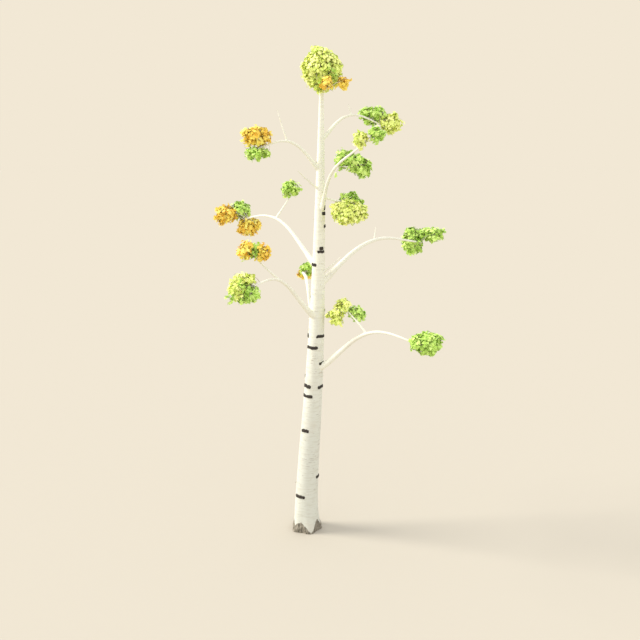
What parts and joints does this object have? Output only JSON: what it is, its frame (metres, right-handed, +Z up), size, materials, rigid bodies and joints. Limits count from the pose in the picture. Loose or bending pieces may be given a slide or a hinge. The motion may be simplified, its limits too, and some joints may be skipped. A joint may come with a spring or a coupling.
{
  "type": "white birch tree",
  "caption": "Tall slender white birch with a leaning black-barred trunk, arching bare boughs and small separate clumps of early autumn leaves.",
  "frame": {"origin": "middle of the flat cut under the trunk, at ground level", "axes": "+Z up along the trunk; +X to the right and +Y to the back, seen from the front, so the trunk leans towards +X"},
  "size_m": [4.5653, 3.5197, 9.0519],
  "materials": {
    "white_bark": "chalky papery white bark with fine breathing lines, faint peeling edges",
    "black_bark": "matt near-black raised bark scars",
    "foot_bark": "rough fissured grey-brown bark at the foot",
    "twig_bark": "smooth thin pale brown twigs",
    "leaves_lime": "soft satin yellow-green leaves",
    "leaves_green": "soft satin fresh green leaves",
    "leaves_amber": "soft satin orange-yellow leaves"
  },
  "bodies": {
    "root": {"back_bough": "white_bark", "bare_left_spur": "white_bark", "crown_side_bough": "white_bark", "front_bough": "white_bark", "high_right_bough": "white_bark", "high_right_fork": "white_bark", "leaves_back_lower_amber": "leaves_amber", "leaves_back_upper_green": "leaves_green", "leaves_crown_side_inner_amber": "leaves_amber", "leaves_crown_side_outer_amber": "leaves_amber", "leaves_crown_side_upper_green": "leaves_green", "leaves_crown_top_lime": "leaves_lime", "leaves_front_lower_lime": "leaves_lime", "leaves_front_upper_green": "leaves_green", "leaves_high_right_fork_inner_green": "leaves_green", "leaves_high_right_fork_outer_green": "leaves_green", "leaves_high_right_inner_lime": "leaves_lime", "leaves_high_right_outer_green": "leaves_green", "leaves_low_left_fork_inner_amber": "leaves_amber", "leaves_low_left_fork_middle_green": "leaves_green", "leaves_low_left_fork_outer_amber": "leaves_amber", "leaves_low_left_lower_green": "leaves_green", "leaves_low_left_outer_lime": "leaves_lime", "leaves_low_left_upper_lime": "leaves_lime", "leaves_low_right_fork_left_lime": "leaves_lime", "leaves_low_right_fork_right_green": "leaves_green", "leaves_low_right_fork_top_lime": "leaves_lime", "leaves_low_right_green": "leaves_green", "leaves_mid_left_fork_green": "leaves_green", "leaves_mid_left_lower_amber": "leaves_amber", "leaves_mid_left_outer_amber": "leaves_amber", "leaves_mid_left_upper_green": "leaves_green", "leaves_mid_right_inner_green": "leaves_green", "leaves_mid_right_outer_green": "leaves_green", "leaves_top_left_lower_green": "leaves_green", "leaves_top_left_upper_amber": "leaves_amber", "leaves_top_right_inner_green": "leaves_green", "leaves_top_right_outer_lime": "leaves_lime", "low_left_bough": "white_bark", "low_left_fork": "white_bark", "low_right_bough": "white_bark", "low_right_fork": "white_bark", "mid_left_bough": "white_bark", "mid_left_fork": "white_bark", "mid_right_bough": "white_bark", "mid_right_spur": "white_bark", "mid_right_twig": "white_bark", "top_left_bough": "white_bark", "top_left_twig": "white_bark", "top_right_bough": "white_bark", "top_right_twig": "white_bark", "trunk": "white_bark"}
  },
  "joints": []
}
